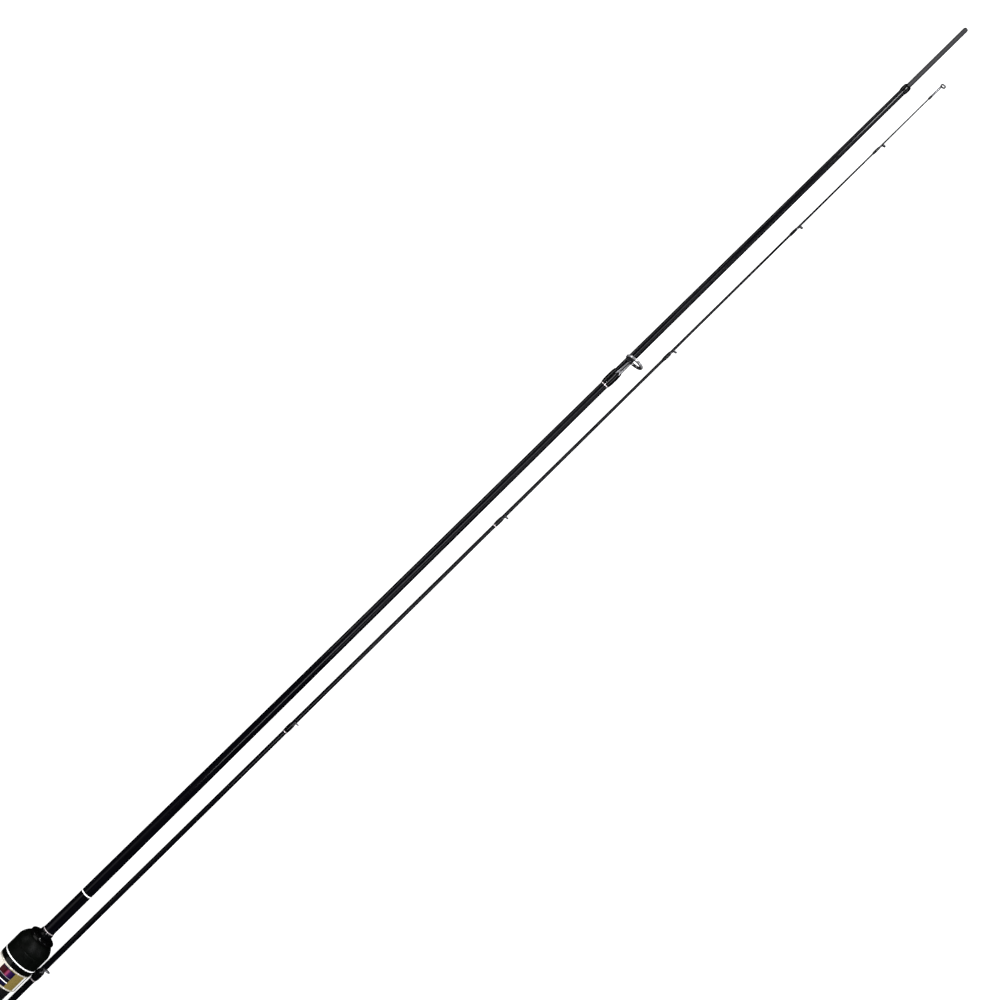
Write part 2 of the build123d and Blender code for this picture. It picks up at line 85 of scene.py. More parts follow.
SAME_STATION = 2e-6  # vertices closer along the axis than this lie on one ring
STEP_HEIGHT = 2e-5  # a ring with radii further apart than this is a step in the outline
BORE_MARGIN = 1e-5  # a bore is at least this much smaller than the outline
OUTWARD = 0.02  # how far a face's normal must lean away from the axis to be on the outside


def outer_line(node):
    """A turned node's outline as (station, radius), with its steps, and the bore's radius at both ends"""
    mesh = frame["nodes"][node].data
    axis = axis_of(node)
    stations, radii = stations_and_radii(node)
    outside = set()
    for polygon in mesh.polygons:
        out = Vector((0, polygon.center.y - axis.y, polygon.center.z - axis.z))
        if out.length > 0 and polygon.normal.dot(out.normalized()) > OUTWARD:
            outside.update(polygon.vertices)
    outside = np.array(sorted(outside))
    order = outside[np.argsort(stations[outside])]
    starts = np.flatnonzero(np.diff(stations[order], prepend=-9) > SAME_STATION)
    line = []
    for group in np.split(order, starts[1:]):
        levels = sorted({round(float(radius), 6) for radius in radii[group]})
        levels = [levels[0], levels[-1]] if levels[-1] - levels[0] > STEP_HEIGHT else [levels[-1]]
        if line and len(levels) == 2 and abs(levels[0] - line[-1][1]) > abs(levels[1] - line[-1][1]):
            levels.reverse()
        line += [(float(stations[group[0]]), level) for level in levels]
    ends = []
    for end, outer in ((stations.min(), line[0][1]), (stations.max(), line[-1][1])):
        bore = float(radii[np.abs(stations - end) < SAME_STATION].min())
        ends.append(bore if bore < outer - BORE_MARGIN else 0.0)
    return line, ends


def radius_of(line, station):
    return float(np.interp(station, [x for x, _ in line], [r for _, r in line]))


# ---- Making meshes ----


WELD = 1e-8  # vertices closer than this are one
SHORTEST_EDGE = 1e-9
SHARP = radians(38)  # an edge that turns further than this stays sharp


def finish_mesh(name, vertices, faces):
    """A new object from vertices and faces, welded, with smooth faces and its hard edges marked"""
    mesh = bpy.data.meshes.new(name)
    mesh.from_pydata(vertices, [], faces)
    bm = bmesh.new()
    bm.from_mesh(mesh)
    bmesh.ops.remove_doubles(bm, verts=bm.verts, dist=WELD)
    bmesh.ops.dissolve_degenerate(bm, edges=bm.edges, dist=SHORTEST_EDGE)
    bmesh.ops.recalc_face_normals(bm, faces=bm.faces)
    mark_smooth(bm, SHARP)
    bm.to_mesh(mesh)
    bm.free()
    piece = bpy.data.objects.new(name, mesh)
    bpy.context.scene.collection.objects.link(piece)
    return piece


def mark_smooth(bm, sharp_angle):
    for face in bm.faces:
        face.smooth = True
    for edge in bm.edges:
        edge.smooth = len(edge.link_faces) == 2 and edge.calc_face_angle(pi) < sharp_angle


def rounded(loop, radius, steps=4):
    """A closed outline with its corners eased by arcs of up to radius"""
    gentle = radians(20)  # a corner that turns less than this is left as it is
    most_of_side = 0.42  # an arc takes at most this share of a side
    points = []
    count = len(loop)
    for i, corner in enumerate(loop):
        here = Vector(corner)
        before = Vector(loop[i - 1]) - here
        after = Vector(loop[(i + 1) % count]) - here
        turn = pi - before.angle(after, pi)
        if turn < gentle or here.y < radius:
            points.append(tuple(here))
            continue
        reach = min(radius, most_of_side * before.length, most_of_side * after.length)
        start = here + before.normalized() * reach
        end = here + after.normalized() * reach
        for k in range(steps + 1):
            t = k / steps
            points.append(tuple(start * (1 - t) ** 2 + here * 2 * t * (1 - t) + end * t**2))
    return points


def turned(name, axis, loop, segments=96):
    """A closed mesh turned about a section's axis from a closed outline of (station, radius)"""
    angles = np.arange(segments) * 2 * pi / segments
    vertices, faces = [], []
    for station, radius in loop:
        for angle in angles:
            vertices.append((station, axis.y + radius * cos(angle), axis.z + radius * sin(angle)))
    rings = len(loop)
    for ring in range(rings):
        here, there = ring * segments, ((ring + 1) % rings) * segments
        for k in range(segments):
            after = (k + 1) % segments
            faces.append((here + k, here + after, there + after, there + k))
    return finish_mesh(name, vertices, faces)


def torus(name, centre, normal, section, segments=96):
    """A ring about any axis, from a closed section of (distance along the axis, radius)"""
    normal = normal.normalized()
    side = normal.orthogonal().normalized()
    other = normal.cross(side)
    vertices, faces = [], []
    for along, radius in section:
        for k in range(segments):
            angle = 2 * pi * k / segments
            vertices.append(centre + normal * along + (side * cos(angle) + other * sin(angle)) * radius)
    rings = len(section)
    for ring in range(rings):
        here, there = ring * segments, ((ring + 1) % rings) * segments
        for k in range(segments):
            after = (k + 1) % segments
            faces.append((here + k, here + after, there + after, there + k))
    return finish_mesh(name, vertices, faces)


def oval(middle, half_width, half_wall, power=2.6, steps=28):
    """A rounded section of a ring, as (along, radius)"""
    points = []
    for k in range(steps):
        angle = 2 * pi * k / steps
        c, s = cos(angle), sin(angle)
        along = half_width * abs(c) ** (2 / power) * (1 if c >= 0 else -1)
        out = half_wall * abs(s) ** (2 / power) * (1 if s >= 0 else -1)
        points.append((along, middle + out))
    return points


def stand_for(piece, node):
    """The piece takes a CAD node's place, body, slot and material"""
    piece.data.materials.clear()
    piece.data.materials.append(look_of(node))
    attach(piece, body_of[node])
    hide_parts(node)
    return piece


def turned_copy(node, edge, segments=96):
    """A smooth stand-in for a turned node, with its corners eased"""
    line, (rear, front) = outer_line(node)
    loop = [*line, (line[-1][0], front), (line[0][0], rear)]
    return stand_for(turned(f"{node}_look", axis_of(node), rounded(loop, edge), segments), node)


def refined_copy(node, bevel):
    """A stand-in made from a node's own mesh, welded, with its hard edges rounded over"""
    weld = 2e-7
    flat = radians(0.5)  # faces that turn less than this are one face
    hard_angle = radians(32)  # edges that turn further than this are rounded over
    shading_angle = radians(40)
    mesh = frame["nodes"][node].data.copy()
    bm = bmesh.new()
    bm.from_mesh(mesh)
    bmesh.ops.remove_doubles(bm, verts=bm.verts, dist=weld)
    bmesh.ops.dissolve_limit(bm, angle_limit=flat, verts=bm.verts, edges=bm.edges)
    hard = [e for e in bm.edges if len(e.link_faces) == 2 and e.calc_face_angle(0) > hard_angle]
    bmesh.ops.bevel(
        bm,
        geom=hard,
        offset=bevel,
        segments=2,
        profile=0.5,
        affect="EDGES",
        clamp_overlap=True,
        offset_type="OFFSET",
    )
    bmesh.ops.recalc_face_normals(bm, faces=bm.faces)
    mark_smooth(bm, shading_angle)
    fresh = bpy.data.meshes.new(f"{node}_look")
    bm.to_mesh(fresh)
    bm.free()
    bpy.data.meshes.remove(mesh)
    piece = bpy.data.objects.new(f"{node}_look", fresh)
    bpy.context.scene.collection.objects.link(piece)
    return stand_for(piece, node)


# ---- Materials ----

MATERIALS = {}


class Look:
    """A node material: its shader, and textures laid in the frame's own coordinates"""

    def __init__(self, name, color, roughness, metallic=0.0, coat=0.0, specular=0.5, coat_roughness=0.03):
        self.material = bpy.data.materials.new(name)
        self.material.use_nodes = True
        self.tree = self.material.node_tree
        self.shader = self.tree.nodes["Principled BSDF"]
        self.set("Base Color", (*color, 1.0))
        self.set("Roughness", roughness)
        self.set("Metallic", metallic)
        self.set("Coat Weight", coat)
        self.set("Coat Roughness", coat_roughness)
        self.set("Specular IOR Level", specular)
        self.place = self.node("ShaderNodeTexCoord").outputs["Object"]

    def set(self, socket, value):
        self.shader.inputs[socket].default_value = value

    def node(self, kind, **values):
        made = self.tree.nodes.new(kind)
        for key, value in values.items():
            setattr(made, key, value)
        return made

    def join(self, output, socket):
        self.tree.links.new(output, socket)

    def mapped(self, scale, turn=(0, 0, 0)):
        made = self.node("ShaderNodeMapping")
        made.inputs["Scale"].default_value = scale
        made.inputs["Rotation"].default_value = turn
        self.join(self.place, made.inputs["Vector"])
        return made.outputs["Vector"]

    def noise(self, scale, detail=3.0, roughness=0.55):
        """Noise whose grain is one over scale, in metres, along each axis"""
        made = self.node("ShaderNodeTexNoise")
        made.inputs["Scale"].default_value = 1.0
        made.inputs["Detail"].default_value = detail
        made.inputs["Roughness"].default_value = roughness
        self.join(self.mapped(scale), made.inputs["Vector"])
        return made.outputs["Fac"]

    def bands(self, period, turn=(0, 0, 0), distortion=0.0):
        """Even ridges square to X, one period apart"""
        made = self.node("ShaderNodeTexWave", wave_type="BANDS", bands_direction="X")
        made.inputs["Scale"].default_value = 1.0
        made.inputs["Distortion"].default_value = distortion
        bands_per_unit = pi / 10  # a wave texture of scale 1 repeats every pi/10 units
        self.join(self.mapped((bands_per_unit / period,) * 3, turn), made.inputs["Vector"])
        return made.outputs["Fac"]

    def spread(self, factor, low, high):
        """A factor from 0.25 to 0.75 spread from low to high"""
        made = self.node("ShaderNodeMapRange")
        made.inputs["From Min"].default_value = 0.25
        made.inputs["From Max"].default_value = 0.75
        made.inputs["To Min"].default_value = low
        made.inputs["To Max"].default_value = high
        self.join(factor, made.inputs["Value"])
        return made.outputs["Result"]

    def ramp(self, factor, stops, steps="LINEAR"):
        made = self.node("ShaderNodeValToRGB")
        made.color_ramp.interpolation = steps
        elements = made.color_ramp.elements
        while len(elements) < len(stops):
            elements.new(0.5)
        for element, (position, color) in zip(elements, stops):
            element.position = position
            element.color = (*color, 1.0)
        self.join(factor, made.inputs["Fac"])
        return made.outputs["Color"]

    def bump(self, height, distance, strength=1.0, under=None):
        made = self.node("ShaderNodeBump")
        made.inputs["Distance"].default_value = distance
        made.inputs["Strength"].default_value = strength
        self.join(height, made.inputs["Height"])
        if under is not None:
            self.join(under, made.inputs["Normal"])
        return made.outputs["Normal"]

    def math(self, operation, first, second):
        made = self.node("ShaderNodeMath", operation=operation)
        for socket, value in zip(made.inputs, (first, second)):
            if isinstance(value, (int, float)):
                socket.default_value = value
            else:
                self.join(value, socket)
        return made.outputs["Value"]


def scaled(color, share):
    return tuple(channel * share for channel in color)


def carbon_blank():
    """Black lacquer over unidirectional carbon, with the faint spiral of the tape it was rolled in"""
    look = Look("carbon_blank", (0.001, 0.001, 0.001), 0.1, specular=0.15)
    fibre = look.noise((30, 2200, 2200), detail=4)
    look.join(
        look.ramp(fibre, [(0.35, (0.0004, 0.0004, 0.0006)), (0.7, (0.0018, 0.0018, 0.003))]),
        look.shader.inputs["Base Color"],
    )
    patches = look.noise((9, 60, 60), detail=2)
    look.join(look.spread(patches, 0.07, 0.14), look.shader.inputs["Roughness"])
    tape = look.bands(0.0024, turn=(0, 0, radians(24)), distortion=0.4)
    look.join(look.bump(tape, 0.000004, 0.3), look.shader.inputs["Normal"])
    return look


def spigot_carbon():
    """Bare ground carbon: matt graphite grey with fine turning marks"""
    look = Look("spigot_carbon", (0.055, 0.055, 0.06), 0.5, specular=0.2)
    marks = look.noise((9000, 700, 700), detail=3)
    look.join(
        look.ramp(marks, [(0.3, (0.009, 0.009, 0.01)), (0.75, (0.024, 0.024, 0.026))]),
        look.shader.inputs["Base Color"],
    )
    look.join(look.spread(look.noise((120, 500, 500)), 0.42, 0.6), look.shader.inputs["Roughness"])
    look.join(look.bump(marks, 0.000015, 0.5), look.shader.inputs["Normal"])
    return look


def epoxy_wrap():
    """Black winding thread seen through clear epoxy"""
    look = Look("epoxy_wrap", (0.001, 0.001, 0.001), 0.3, coat=0.3, specular=0.04, coat_roughness=0.04)
    thread = look.bands(0.00019)
    look.join(
        look.ramp(thread, [(0.1, (0.0003, 0.0003, 0.0003)), (0.9, (0.0014, 0.0014, 0.0018))]),
        look.shader.inputs["Base Color"],
    )
    look.join(look.bump(thread, 0.00002, 0.5), look.shader.inputs["Normal"])
    flow = look.noise((220, 320, 320), detail=2)
    look.join(look.bump(flow, 0.00006, 0.5), look.shader.inputs["Coat Normal"])
    return look


def foam(name, color, grain=2600, roughness=(0.34, 0.46)):
    look = Look(name, color, sum(roughness) / 2, specular=0.06)
    cells = look.node("ShaderNodeTexVoronoi")
    cells.inputs["Scale"].default_value = grain
    look.join(look.place, cells.inputs["Vector"])
    cloud = look.noise((260, 260, 260), detail=4)
    look.join(
        look.ramp(cloud, [(0.3, scaled(color, 0.6)), (0.75, scaled(color, 1.6))]),
        look.shader.inputs["Base Color"],
    )
    look.join(look.spread(cloud, *roughness), look.shader.inputs["Roughness"])
    coarse = look.bump(cloud, 0.00006, 0.4)
    look.join(look.bump(cells.outputs["Distance"], 0.00005, 0.5, coarse), look.shader.inputs["Normal"])
    return look


def moulded(name, color, roughness, grain=900, specular=0.4):
    """Moulded plastic, a little uneven in tone and in shine"""
    look = Look(name, color, roughness, specular=specular)
    cloud = look.noise((grain, grain, grain), detail=4)
    broad = look.noise((90, 90, 90), detail=2)
    look.join(
        look.ramp(broad, [(0.3, scaled(color, 0.75)), (0.7, scaled(color, 1.3))]),
        look.shader.inputs["Base Color"],
    )
    look.join(look.spread(cloud, roughness * 0.75, roughness * 1.3), look.shader.inputs["Roughness"])
    look.join(look.bump(cloud, 0.00002, 0.35), look.shader.inputs["Normal"])
    return look


def metal(name, color, roughness, turning=(9000, 500, 500), metallic=0.6):
    """Satin metal with fine turning or polishing marks"""
    darkest = 0.82  # the tone in the marks, as a share of the colour
    look = Look(name, color, roughness, metallic=metallic)
    marks = look.noise(turning, detail=3)
    look.join(
        look.ramp(marks, [(0.3, scaled(color, darkest)), (0.7, color)]), look.shader.inputs["Base Color"]
    )
    look.join(look.spread(marks, roughness * 0.7, roughness * 1.5), look.shader.inputs["Roughness"])
    look.join(look.bump(marks, 0.000006, 0.4), look.shader.inputs["Normal"])
    return look


def gold_sleeve():
    """Turned gold metal with reflections painted into its colour: a pale painted reflection down one side that
    fades to gold over the top, a pale painted highlight strip near the other side and a painted dark line at that
    edge
    """
    look = metal("gold_sleeve", (0.8, 0.77, 0.7), 0.22, metallic=0.3)
    split = look.node("ShaderNodeSeparateXYZ")
    look.join(look.place, split.inputs["Vector"])
    aside = look.math("SUBTRACT", butt_axis.y, split.outputs["Y"])
    above = look.math("SUBTRACT", split.outputs["Z"], butt_axis.z)
    turn = look.node("ShaderNodeMapRange")  # from one side over the top to the other
    turn.inputs["From Min"].default_value = -pi / 2
    turn.inputs["From Max"].default_value = pi / 2
    look.join(look.math("ARCTAN2", aside, above), turn.inputs["Value"])
    # Round the sleeve: pale painted reflection on the +Y side fading to the sleeve's own gold over the top, then a
    # pale painted highlight strip near the -Y side, then a painted dark line at that very edge
    gold, pale = (0.19, 0.14, 0.038), (0.9, 0.9, 0.88)
    gold_and_painted_reflection = look.ramp(
        turn.outputs["Result"],
        [
            (0.0, pale),
            (0.3, (0.72, 0.68, 0.6)),
            (0.5, (0.36, 0.32, 0.26)),
            (0.52, gold),
            (0.84, gold),
            (0.85, pale),
            (0.91, pale),
            (0.92, (0.01, 0.01, 0.01)),
        ],
    )
    cloud = look.noise((9000, 500, 500), detail=3)
    mix = look.node("ShaderNodeMix", data_type="RGBA", blend_type="MULTIPLY")
    mix.inputs["Factor"].default_value = 1.0
    look.join(gold_and_painted_reflection, mix.inputs["A"])
    look.join(look.ramp(cloud, [(0.3, (0.85, 0.85, 0.85)), (0.7, (1, 1, 1))]), mix.inputs["B"])
    look.join(mix.outputs["Result"], look.shader.inputs["Base Color"])
    return look


def badge_enamel():
    """A generic enamel badge: a wine and violet field with a pink highlight painted across its middle, a black bar
    and a navy field, with pale lines
    """
    look = Look("badge_enamel", (0.1, 0.01, 0.03), 0.15, specular=0.08)
    rear, front = (corner.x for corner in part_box("sleeve_badge"))
    split = look.node("ShaderNodeSeparateXYZ")
    look.join(look.place, split.inputs["Vector"])
    along = look.node("ShaderNodeMapRange")
    along.inputs["From Min"].default_value = rear
    along.inputs["From Max"].default_value = front
    look.join(split.outputs["X"], along.inputs["Value"])
    black, pale = (0.004, 0.004, 0.006), (0.75, 0.72, 0.74)
    navy, wine = (0.003, 0.003, 0.014), (0.022, 0.0015, 0.003)
    fields = look.ramp(
        along.outputs["Result"],
        [
            (0.0, navy),
            (0.24, pale),
            (0.29, black),
            (0.52, (0.2, 0.19, 0.21)),
            (0.55, wine),
            (0.94, navy),
        ],
        steps="CONSTANT",
    )
    across = look.node("ShaderNodeMapRange")
    across.inputs["From Min"].default_value = butt_axis.y - 0.0055
    across.inputs["From Max"].default_value = butt_axis.y + 0.0045
    look.join(split.outputs["Y"], across.inputs["Value"])
    # Across the badge: navy and violet on one side, wine on the other, and a pink painted highlight along the
    # middle
    field_and_painted_highlight = look.ramp(
        across.outputs["Result"],
        [
            (0.0, (0.003, 0.002, 0.015)),
            (0.32, (0.02, 0.004, 0.035)),
            (0.5, (0.19, 0.028, 0.07)),
            (0.66, wine),
        ],
    )
    in_wine = look.ramp(
        along.outputs["Result"], [(0.0, (0, 0, 0)), (0.56, (1, 1, 1)), (0.94, (0, 0, 0))], steps="CONSTANT"
    )
    mix = look.node("ShaderNodeMix", data_type="RGBA")
    look.join(in_wine, mix.inputs["Factor"])
    look.join(fields, mix.inputs["A"])
    look.join(field_and_painted_highlight, mix.inputs["B"])
    look.join(mix.outputs["Result"], look.shader.inputs["Base Color"])
    look.join(look.spread(look.noise((500, 500, 500)), 0.08, 0.2), look.shader.inputs["Roughness"])
    return look


LOOKS = {
    "carbon_blank": carbon_blank,
    "spigot_carbon": spigot_carbon,
    "epoxy_wrap": epoxy_wrap,
    "eva_grip": lambda: foam("eva_grip", (0.0009, 0.0012, 0.0009)),
    "butt_rubber": lambda: foam("butt_rubber", (0.008, 0.008, 0.008), grain=900, roughness=(0.55, 0.75)),
    "seat_plastic": lambda: moulded("seat_plastic", (0.004, 0.004, 0.0045), 0.28, specular=0.25),
    "gloss_ring": lambda: moulded("gloss_ring", (0.001, 0.001, 0.001), 0.14, specular=0.22),
    "arbor_plastic": lambda: moulded("arbor_plastic", (0.7, 0.64, 0.48), 0.6),
    "white_ring": lambda: moulded("white_ring", (0.72, 0.72, 0.72), 0.35),
    "gold_sleeve": gold_sleeve,
    "polished_rim": lambda: metal("polished_rim", (0.85, 0.8, 0.7), 0.1),
    "badge_enamel": badge_enamel,
    "bright_trim": lambda: metal("bright_trim", (0.6, 0.54, 0.55), 0.16),
    "stripper_steel": lambda: metal("stripper_steel", (0.27, 0.27, 0.28), 0.18, turning=(1500, 1500, 1500)),
    "guide_steel": lambda: metal("guide_steel", (0.12, 0.12, 0.13), 0.2, turning=(2500, 2500, 2500)),
    "ring_ceramic": lambda: moulded("ring_ceramic", (0.008, 0.008, 0.009), 0.12, grain=4000, specular=0.6),
}


def look_of(node):
    slot = slot_of[node]
    if slot not in MATERIALS:
        MATERIALS[slot] = LOOKS[slot]().material
    return MATERIALS[slot]


# ---- Blanks and spigot ----


def blank(node, bore_radius, bore_length, from_rear):
    """A tapered blank, sampled closely, with the stretch of its bore that can be seen"""
    line, _ = outer_line(node)
    first, last = line[0][0], line[-1][0]
    count = 160
    stations = [first + (last - first) * k / count for k in range(count + 1)]
    loop = [(station, radius_of(line, station)) for station in stations]
    if from_rear:
        inner = first + bore_length
        loop += [(last, 0), (inner, 0), (inner, bore_radius), (first, bore_radius)]
    else:
        inner = last - bore_length
        loop += [(last, bore_radius), (inner, bore_radius), (inner, 0), (first, 0)]
    return stand_for(turned(f"{node}_look", axis_of(node), loop, 64), node)


spigot_pin, socket = mounts["spigot"]["dims"], mounts["socket"]["dims"]
blank("butt_blank", spigot_pin["r_mm"] / 1000, 0.02, from_rear=False)
blank("tip_blank", socket["r_mm"] / 1000, socket["length_mm"] / 1000, from_rear=True)
turned_copy("spigot", 0.0002, 64)


# ---- Thread wraps ----


def wrap(node):
    """A wrap under epoxy, full in the middle and drawn down to the blank at both ends"""
    low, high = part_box(node)
    blank_line, _ = outer_line("tip_blank" if body_of[node] == "tip_section" else "butt_blank")
    _, radii = stations_and_radii(node)
    length = high.x - low.x
    build = float(radii.max()) - radius_of(blank_line, low.x)
    run_out = 0.5 * length  # the stretch over which an end runs out
    end_fullness = 0.15  # the share of the build that's left at the very end
    roundness = 2.4
    under = 0.0002  # the wrap's inner wall is this far inside the blank's surface
    steps = 48
    loop = []
    for k in range(steps + 1):
        along = length * k / steps
        from_end = min(along, length - along)
        share = min(1.0, from_end / run_out)
        fullness = end_fullness + (1 - end_fullness) * (1 - (1 - share) ** roundness) ** 0.5
        loop.append((low.x + along, radius_of(blank_line, low.x + along) + build * fullness))
    inside = [(x, radius_of(blank_line, x) - under) for x in (high.x, low.x)]
    return stand_for(turned(f"{node}_look", axis_of(node), rounded(loop + inside, 0.00012), 72), node)


for node in slot_of:
    if node.endswith("_wrap"):
        wrap(node)

# ---- Turned pieces of the handle, and the narrow rings on the blanks ----

turned_copy("butt_cap", 0.0006)
turned_copy("rear_grip", 0.0012)
turned_copy("rear_ring", 0.0006)
turned_copy("black_ring", 0.0003, 128)
turned_copy("white_ring", 0.0002, 128)
turned_copy("foregrip", 0.0006, 128)
turned_copy("metal_sleeve", 0.0001, 128)
turned_copy("sleeve_rear_rim", 0.0002, 128)
turned_copy("sleeve_front_rim", 0.0002, 128)
turned_copy("white_band", 0.00003)
for node in slot_of:
    if node.endswith("trim_ring"):
        turned_copy(node, 0.0001)


def winding_check():
    """A dished collar: a narrow neck, a rounded rim, a dish in front and a lip round the blank"""
    low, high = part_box("winding_check")
    line, (rear_bore, front_bore) = outer_line("winding_check")
    rim = max(radius for _, radius in line)
    front = high.x
    lip = 0.0071  # the lip's radius
    neck, dish, edge = 0.0004, 0.0014, 0.0004  # the neck's length, the dish's depth, the rim's bevel
    neck_step = 0.0006  # the neck is this much lower than the rim
    loop = [
        (low.x, rear_bore),
        (low.x, rim - neck_step),
        (low.x + neck, rim - neck_step),
        (low.x + neck, rim),
        (front - edge, rim),
        (front, rim - edge),
        (front, rim - 2 * edge),
        (front - dish, lip + 2 * edge),
        (front - edge, lip),
        (front, lip - edge),
        (front, front_bore),
    ]
    piece = turned("winding_check_look", butt_axis, rounded(loop, 0.00035, steps=5), 128)
    return stand_for(piece, "winding_check")


winding_check()


# ---- Reel seat: threaded barrel with a saddle flat and a keyway, two hoods and a nut ----


def reel_seat():
    """The seat's body, with a real helical thread"""
    low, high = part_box("reel_seat_body")
    stations, radii = stations_and_radii("reel_seat_body")
    fixed_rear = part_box("fixed_hood")[0].x
    nose_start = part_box("sleeve_rear_rim")[0].x
    barrel = float(radii[stations < fixed_rear].max())
    nose = float(radii[stations > nose_start + 0.0001].max())
    bore = float(radii.min())
    saddle_offset = Vector(mounts["reel_saddle"]["pos_m"]) - butt_axis
    saddle = Vector((0, saddle_offset.y, saddle_offset.z)).length
    gap = 0.0003
    thread_rear = low.x + 0.0012
    thread_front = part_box("movable_hood")[0].x + travel["hood_slide"]
    key_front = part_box("movable_hood")[1].x + travel["hood_slide"] + gap
    saddle_end = fixed_rear + 0.020
    relief = 0.0002  # the flat is this much lower under the hoods and the nut
    proud = (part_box("movable_hood")[1].x + gap, fixed_rear - gap)
    pitch, depth = 0.002, 0.0007
    land = 0.42  # half the groove's width, as a share of the pitch
    key_half, key_bottom = 0.0018, barrel - 0.0013

    flat_edge = acos(saddle / barrel)
    key_edge = asin(key_half / barrel)
    step = 1e-4  # the width given to a step, in radians round the barrel and in metres along it
    around, rows_per_turn = 150, 12
    angles = [2 * pi * k / around - pi for k in range(around)]
    angles += [flat_edge, -flat_edge, pi - key_edge - step, pi - key_edge + step]
    angles += [key_edge - pi - step, key_edge - pi + step]
    angles = sorted(angles)

    def radius_at(station, angle):
        if station > nose_start:
            return nose
        radius = barrel
        if thread_rear < station < thread_front:
            phase = ((station - thread_rear) / pitch - angle / (2 * pi)) % 1
            ease = min(1.0, (station - thread_rear) / pitch, (thread_front - station) / pitch)
            radius -= depth * ease * max(0.0, 1 - abs(phase - 0.5) / land)
        if station < saddle_end and abs(angle) < flat_edge:
            height = saddle if proud[0] < station < proud[1] else saddle - relief
            radius = min(radius, height / cos(angle))
        from_bottom = pi - abs(angle)
        if station < key_front and from_bottom < key_edge:
            radius = min(radius, key_bottom / cos(from_bottom))
        return radius

    places = list(np.arange(low.x, thread_front + pitch, pitch / rows_per_turn))
    for edge in (key_front, saddle_end, *proud):
        places += [edge, edge + step]
    places += [nose_start, nose_start + step, high.x]
    places = sorted(places)
    side = Vector((1, 0, 0)).cross(butt_up)
    vertices, faces = [], []
    for station in places:
        for angle in angles:
            out = butt_up * cos(angle) + side * sin(angle)
            vertices.append(Vector((station, butt_axis.y, butt_axis.z)) + out * radius_at(station, angle))
    for station in (high.x, low.x):
        for angle in angles:
            out = butt_up * cos(angle) + side * sin(angle)
            vertices.append(Vector((station, butt_axis.y, butt_axis.z)) + out * bore)
    rings, count = len(places) + 2, len(angles)
    for ring in range(rings):
        here, there = ring * count, ((ring + 1) % rings) * count
        for k in range(count):
            after = (k + 1) % count
            faces.append((here + k, here + after, there + after, there + k))
    return stand_for(finish_mesh("reel_seat_body_look", vertices, faces), "reel_seat_body")


reel_seat()
refined_copy("fixed_hood", 0.0005)
refined_copy("movable_hood", 0.0005)
refined_copy("lock_nut", 0.0003)
for node in ("rear_arbor", "front_arbor"):
    frame["nodes"][node].data.materials.clear()
    frame["nodes"][node].data.materials.append(look_of(node))


# ---- Badge on the sleeve ----


def badge():
    """A thin curved plate, crowned a little, with rounded edges"""
    low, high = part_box("sleeve_badge")
    _, radii = stations_and_radii("sleeve_badge")
    base, top = float(radii.min()), float(radii.max())
    half = asin((high.y - low.y) / 2 / top)
    edge = 0.0003
    edge_share = 0.35  # the plate's thickness at its very edge, as a share of the middle's
    columns, rows = 40, 24
    vertices, faces = [], []
    for layer in (0, 1):
        for i in range(rows + 1):
            for j in range(columns + 1):
                station = low.x + (high.x - low.x) * i / rows
                angle = -half + 2 * half * j / columns
                from_side = min(station - low.x, high.x - station, (half - abs(angle)) * top)
                rise = 1 - (1 - min(1.0, from_side / edge)) ** 2
                radius = base if layer == 0 else base + (top - base) * (edge_share + (1 - edge_share) * rise)
                vertices.append(
                    (station, butt_axis.y + radius * sin(angle), butt_axis.z + radius * cos(angle))
                )
    width = columns + 1
    layer_size = width * (rows + 1)
    for i in range(rows):
        for j in range(columns):
            a = i * width + j
            faces.append((a, a + width, a + width + 1, a + 1))
            b = a + layer_size
            faces.append((b, b + 1, b + width + 1, b + width))
    rim = list(range(columns))
    rim += [i * width + columns for i in range(rows)]
    rim += [rows * width + j for j in range(columns, 0, -1)]
    rim += [i * width for i in range(rows, 0, -1)]
    for a, b in zip(rim, rim[1:] + rim[:1]):
        faces.append((a, b, b + layer_size, a + layer_size))
    return stand_for(finish_mesh("sleeve_badge_look", vertices, faces), "sleeve_badge")


badge()


# ---- Guides ----


def ceramic(node):
    """A polished ring, rounder than the CAD section, in the same hoop"""
    points = corners(node)
    low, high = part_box(node)
    centre = (low + high) / 2
    offsets = points - np.array(centre)
    _, directions = np.linalg.eigh(offsets.T @ offsets)
    flattest = directions[:, 0]
    along = offsets @ flattest
    radii = np.linalg.norm(offsets - np.outer(along, flattest), axis=1)
    half_width = float(np.abs(along).max())
    inner, outer = float(radii.min()), float(radii.max())
    section = oval((inner + outer) / 2, half_width, (outer - inner) / 2)
    return stand_for(torus(f"{node}_look", centre, Vector(flattest), section, 96), node)


for node in slot_of:
    if slot_of[node] == "ring_ceramic":
        ceramic(node)
    if slot_of[node] == "stripper_steel":
        refined_copy(node, 0.00014)
    if slot_of[node] == "guide_steel":
        refined_copy(node, 0.00006)


# ---- Floor, light and camera ----

floor_mesh = bpy.data.meshes.new("floor")
reach = 6.0
floor_mesh.from_pydata(
    [(-reach, -reach, 0), (reach, -reach, 0), (reach, reach, 0), (-reach, reach, 0)], [], [(0, 1, 2, 3)]
)
floor = bpy.data.objects.new("floor", floor_mesh)
bpy.context.scene.collection.objects.link(floor)
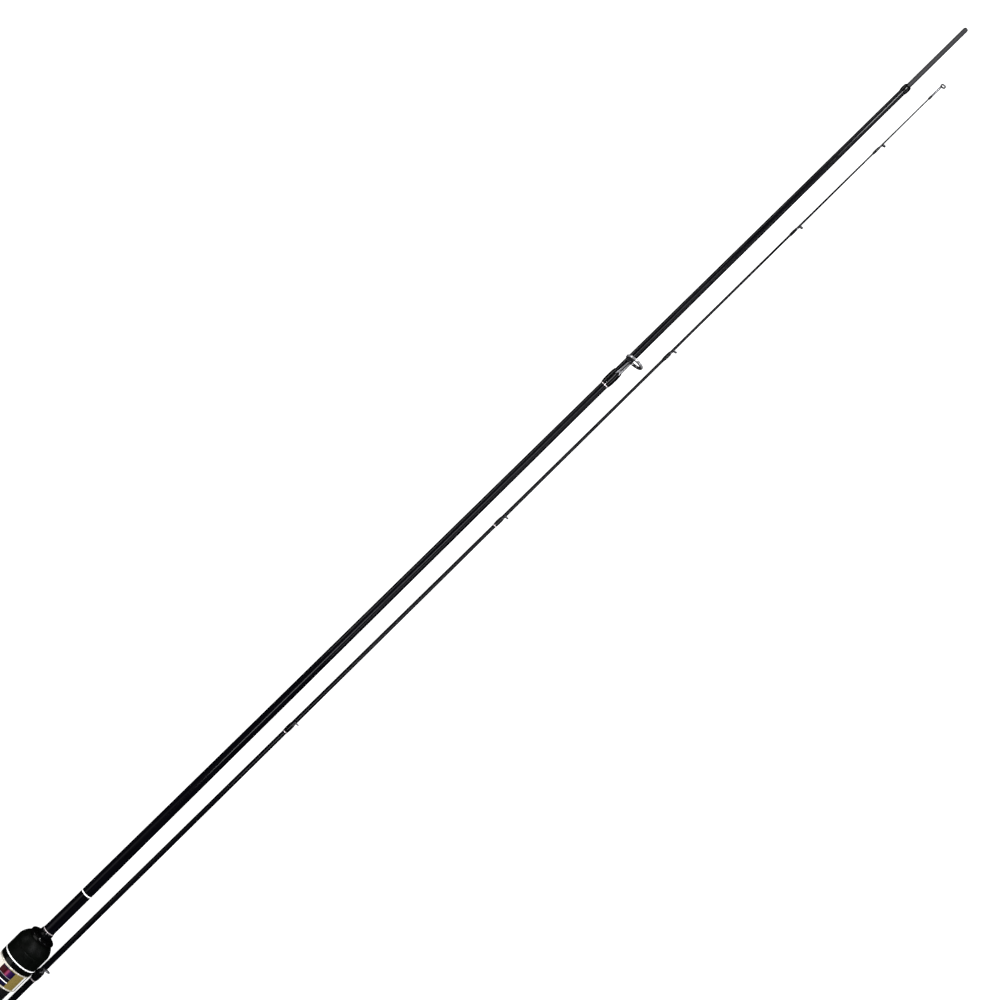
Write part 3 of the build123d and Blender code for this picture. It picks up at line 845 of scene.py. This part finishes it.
# A light table's milky sheet, lit from below
paper = Look("floor_paper", (0.3, 0.3, 0.3), 0.8, specular=0.1)
paper.set("Emission Color", (1, 1, 1, 1))
paper.set("Emission Strength", 0.8)
tone = paper.noise((3, 3, 3), detail=2)
paper.join(
    paper.ramp(tone, [(0.3, (0.29, 0.29, 0.29)), (0.7, (0.31, 0.31, 0.31))]),
    paper.shader.inputs["Base Color"],
)
floor_mesh.materials.append(paper.material)
floor.visible_glossy = False  # black lacquer keeps black edges against the white, as in the photo

camera_height = 1.437
camera_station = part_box("butt_cap")[0].x + 0.876  # along the butt section, from its rear end
camera_side = butt_axis.y - 0.0071
view_turn = radians(-44.5)


def card(name, along, aside, height, size, radiance, color=(1, 1, 1), aim=None):
    """A soft lit card, placed from the point under the camera, facing straight across or towards aim"""
    light = bpy.data.lights.new(name, "AREA")
    light.shape = "RECTANGLE"
    light.size, light.size_y = size
    light.energy = 4 * size[0] * size[1] * radiance  # in watts
    light.color = color
    lamp = bpy.data.objects.new(name, light)
    lamp.location = (camera_station + along, camera_side + aside, height)
    facing = Vector((along if aim is None else aim, 0, 0)) - Vector((along, aside, height))
    lamp.rotation_euler = facing.to_track_quat("-Z", "Y").to_euler()
    bpy.context.scene.collection.objects.link(lamp)


card("card_over", -0.05, -0.22, 1.6, (1.2, 0.26), 13.0, (0.95, 0.95, 1.0))
card("card_right", 0.36, -1.3, 0.8, (1.45, 0.2), 7.0, (0.95, 0.95, 1.0))
card("card_left", 0.36, 1.45, 0.47, (1.45, 0.2), 8.0)
card("card_handle", -1.25, 1.0, 1.2, (0.8, 1.3), 1.0, (1.0, 0.99, 0.96), aim=-0.6)
card("card_front", 1.7, 0.25, 1.3, (0.35, 0.5), 22.0, aim=-0.5)
card("card_spark", 0.97, -0.1, 1.6, (0.25, 0.25), 70.0)

for name, lean in (("sky_left", radians(-32)), ("sky_right", radians(32))):
    sky_light = bpy.data.lights.new(name, "SUN")
    sky_light.energy = 2.3
    sky_light.angle = radians(120)
    sky = bpy.data.objects.new(name, sky_light)
    sky.rotation_euler = (lean, 0, 0)
    sky.visible_glossy = False
    bpy.context.scene.collection.objects.link(sky)

world = bpy.data.worlds.new("studio")
bpy.context.scene.world = world
world.use_nodes = True
world.node_tree.nodes["Background"].inputs["Color"].default_value = (1, 1, 1, 1)
world.node_tree.nodes["Background"].inputs["Strength"].default_value = 1.0
world.cycles_visibility.glossy = False  # a white backdrop that doesn't light or mirror in the rod
world.cycles_visibility.diffuse = False

camera_data = bpy.data.cameras.new("camera")
camera_data.lens = 64.8
camera_data.sensor_width = 36
camera_data.clip_start, camera_data.clip_end = 0.01, 50
camera = bpy.data.objects.new("camera", camera_data)
camera.location = (camera_station, camera_side, camera_height)
camera.rotation_euler = Euler((0, 0, view_turn))
bpy.context.scene.collection.objects.link(camera)
bpy.context.scene.camera = camera
bpy.context.scene.view_settings.view_transform = "Standard"
